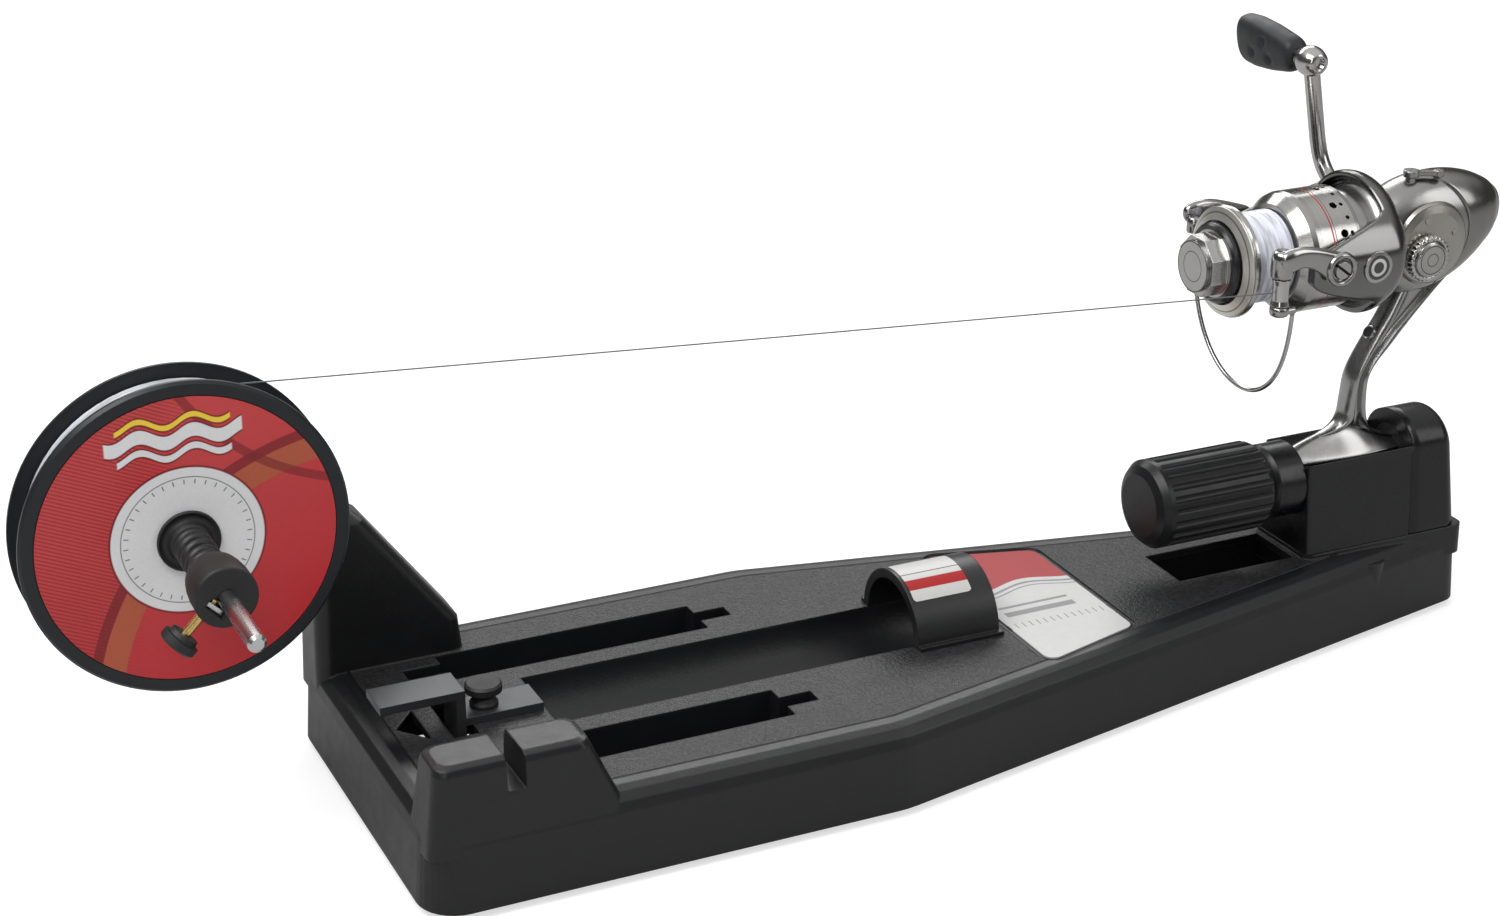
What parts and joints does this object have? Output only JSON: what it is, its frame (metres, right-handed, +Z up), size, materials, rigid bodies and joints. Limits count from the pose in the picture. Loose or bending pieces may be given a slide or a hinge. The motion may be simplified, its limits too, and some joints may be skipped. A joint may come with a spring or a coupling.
{
  "type": "line spooling station with reel",
  "caption": "Bench spooling station: long tapered moulded base, filler spool on a bent rod with spring tension, taut line, and a spinning reel clamped in a hooded seat.",
  "frame": {"origin": "on the table, under the middle of the whole outline", "axes": "+X from the filler spool to the reel seat, +Y to the back, +Z up"},
  "size_m": [0.5614, 0.1682, 0.2217],
  "materials": {
    "base_plastic": "fine grained moulded",
    "gloss_black": "satin gloss moulded",
    "black_rubber": "matte",
    "white_label": "smooth printed",
    "grey_plate": "brushed grey",
    "black_trim": "matte",
    "spring_steel_black": "black oxide",
    "polished_steel": "polished",
    "slate_plastic": "satin",
    "red_label": "printed paper",
    "clear_nylon": "clear monofilament",
    "brass": "polished",
    "satin_nickel": "satin silver paint",
    "bright_nickel": "bright",
    "spool_metal": "turned",
    "drag_fibre": "woven"
  },
  "bodies": {
    "station": {"base_shell": "base_plastic", "feet": "black_rubber", "info_label": "white_label", "rod_arch": "base_plastic", "seat_tower": "gloss_black", "seat_screws": "polished_steel", "seat_stud": "polished_steel", "spool_arm": "polished_steel", "back_stop": "black_trim", "line": "clear_nylon", "reel_body": "satin_nickel", "side_cover": "satin_nickel", "rear_cover": "bright_nickel", "cover_screws": "polished_steel", "stem_screw": "polished_steel", "crank_bearing": "polished_steel", "rotor_bearing": "polished_steel"},
    "clamp_plate": {"clamp_plate": "grey_plate"},
    "clamp_screw": {"clamp_screw": "black_trim"},
    "sliding_hood": {"sliding_hood": "gloss_black"},
    "clamp_knob": {"clamp_knob": "gloss_black"},
    "filler_spool": {"filler_spool": "slate_plastic", "filler_label": "red_label", "filler_core": "clear_nylon", "filler_winding": "clear_nylon"},
    "tensioner": {"tension_disc": "black_trim", "tension_spring": "spring_steel_black", "locking_collar": "black_trim", "square_nut": "polished_steel"},
    "collar_screw": {"collar_screw": "brass", "collar_screw_head": "black_trim"},
    "crank": {"drive_gear": "brass", "crank_shaft": "polished_steel", "handle_cap": "bright_nickel", "crank_arm": "satin_nickel", "grip_pin": "polished_steel"},
    "crank_grip": {"crank_grip": "black_rubber"},
    "rotor": {"rotor": "satin_nickel", "rotor_nut": "polished_steel", "pinion_gear": "brass", "arm_badge": "bright_nickel", "bail_screws": "polished_steel"},
    "bail": {"bail_arm_near": "satin_nickel", "bail_arm_far": "satin_nickel", "bail_wire": "bright_nickel"},
    "line_roller": {"line_roller": "bright_nickel"},
    "main_shaft": {"main_shaft": "polished_steel", "crosshead": "satin_nickel"},
    "reel_spool": {"reel_spool": "spool_metal", "spool_ring": "spool_metal", "reel_core": "clear_nylon", "reel_winding": "clear_nylon", "drag_washers": "drag_fibre"},
    "drag_knob": {"drag_knob": "spool_metal"},
    "anti_reverse_lever": {"anti_reverse_lever": "satin_nickel"}
  },
  "joints": [
    {"name": "clamp_lift", "type": "slide", "parent": "station", "child": "clamp_plate", "axis": [0, 0, 1], "range_m": [0, 0.006]},
    {"name": "clamp_screw_turn", "type": "hinge", "parent": "clamp_plate", "child": "clamp_screw", "pos_m": [-0.13175, -0.01033, 0.033], "axis": [0, 0, 1], "range_deg": [0, 2160]},
    {"name": "hood_slide", "type": "slide", "parent": "station", "child": "sliding_hood", "axis": [1, 0, 0], "range_m": [-0.012, 0]},
    {"name": "clamp_knob_turn", "type": "hinge", "parent": "sliding_hood", "child": "clamp_knob", "pos_m": [0.12965, -0.01033, 0.0616], "axis": [1, 0, 0], "range_deg": [-2160, 0]},
    {"name": "filler_spool_spin", "type": "hinge", "parent": "station", "child": "filler_spool", "pos_m": [-0.22575, 0.00967, 0.1115], "axis": [0, 1, 0], "continuous": true},
    {"name": "tensioner_slide", "type": "slide", "parent": "station", "child": "tensioner", "axis": [0, -1, 0], "range_m": [0, 0.028]},
    {"name": "collar_screw_turn", "type": "hinge", "parent": "tensioner", "child": "collar_screw", "pos_m": [-0.22575, -0.04163, 0.1115], "axis": [-0.7071, 0, -0.7071], "range_deg": [0, 1080]},
    {"name": "crank_turn", "type": "hinge", "parent": "station", "child": "crank", "pos_m": [0.23925, -0.01033, 0.1495], "axis": [0, 1, 0], "continuous": true},
    {"name": "crank_grip_spin", "type": "hinge", "parent": "crank", "child": "crank_grip", "pos_m": [0.22742, 0.03768, 0.21036], "axis": [0, 1, 0], "continuous": true},
    {"name": "rotor_spin", "type": "hinge", "parent": "station", "child": "rotor", "pos_m": [0.20625, -0.01033, 0.154], "axis": [1, 0, 0], "continuous": true},
    {"name": "bail_flip", "type": "hinge", "parent": "rotor", "child": "bail", "pos_m": [0.18825, -0.01033, 0.157], "axis": [0, 1, 0], "range_deg": [0, 100], "deforming": ["line"]},
    {"name": "line_roller_spin", "type": "hinge", "parent": "bail", "child": "line_roller", "pos_m": [0.16525, -0.03882, 0.1506], "axis": [0, 0, 1], "continuous": true},
    {"name": "spool_oscillation", "type": "slide", "parent": "station", "child": "main_shaft", "axis": [1, 0, 0], "range_m": [-0.008, 0]},
    {"name": "drag_slip", "type": "hinge", "parent": "main_shaft", "child": "reel_spool", "pos_m": [0.15725, -0.01033, 0.154], "axis": [1, 0, 0], "continuous": true},
    {"name": "drag_knob_turn", "type": "hinge", "parent": "main_shaft", "child": "drag_knob", "pos_m": [0.15725, -0.01033, 0.154], "axis": [1, 0, 0], "range_deg": [-720, 0]},
    {"name": "anti_reverse_switch", "type": "hinge", "parent": "station", "child": "anti_reverse_lever", "pos_m": [0.23925, -0.01333, 0.173], "axis": [0, 0, 1], "range_deg": [-30, 0]}
  ],
  "couplings": [
    {"joint": "clamp_screw_turn", "follows": "clamp_lift", "rad_per_m": 6283.2},
    {"joint": "hood_slide", "follows": "clamp_knob_turn", "m_per_rad": 0.00031831},
    {"joint": "rotor_spin", "follows": "crank_turn", "ratio": -5}
  ]
}
